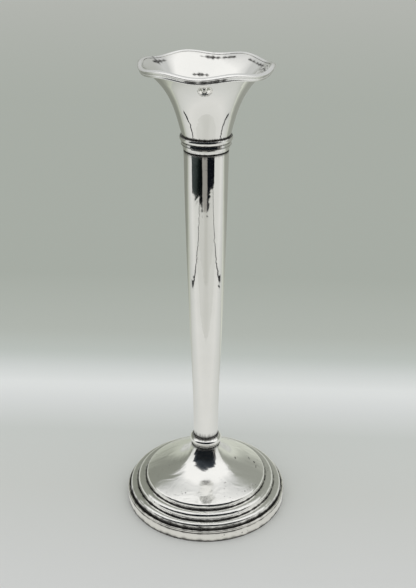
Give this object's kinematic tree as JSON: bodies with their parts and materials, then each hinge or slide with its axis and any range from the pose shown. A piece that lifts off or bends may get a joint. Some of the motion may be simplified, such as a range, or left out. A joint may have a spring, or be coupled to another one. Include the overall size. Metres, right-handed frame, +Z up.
{
  "type": "candlestick",
  "caption": "Silver candlestick with a wavy trumpet socket, collar rings, a slender tapered stem and a stepped round weighted foot.",
  "frame": {"origin": "bottom centre, on the plane the felt stands on", "axes": "+Z up along the axis of the stem, -Y towards the viewer of the front"},
  "size_m": [0.09, 0.09, 0.2511],
  "materials": {
    "sheet_silver": "polished sterling silver sheet with fine wear",
    "silver_wire": "polished silver wire and turned rings, darker in the soldered creases",
    "steel": "plain mild steel",
    "plaster": "cast plaster loading, matt",
    "felt": "dark green felt"
  },
  "bodies": {
    "root": {"rim_wire": "silver_wire", "trumpet": "sheet_silver", "candle_seat": "sheet_silver", "upper_collar": "silver_wire", "lower_collar": "silver_wire", "stem_tube": "sheet_silver", "knop_ring": "silver_wire", "foot_shell": "sheet_silver", "foot_band": "silver_wire", "foot_loading": "plaster", "base_plate": "steel", "tie_rod": "steel", "rod_washer": "steel", "rod_nut": "steel", "base_felt": "felt"}
  },
  "joints": []
}
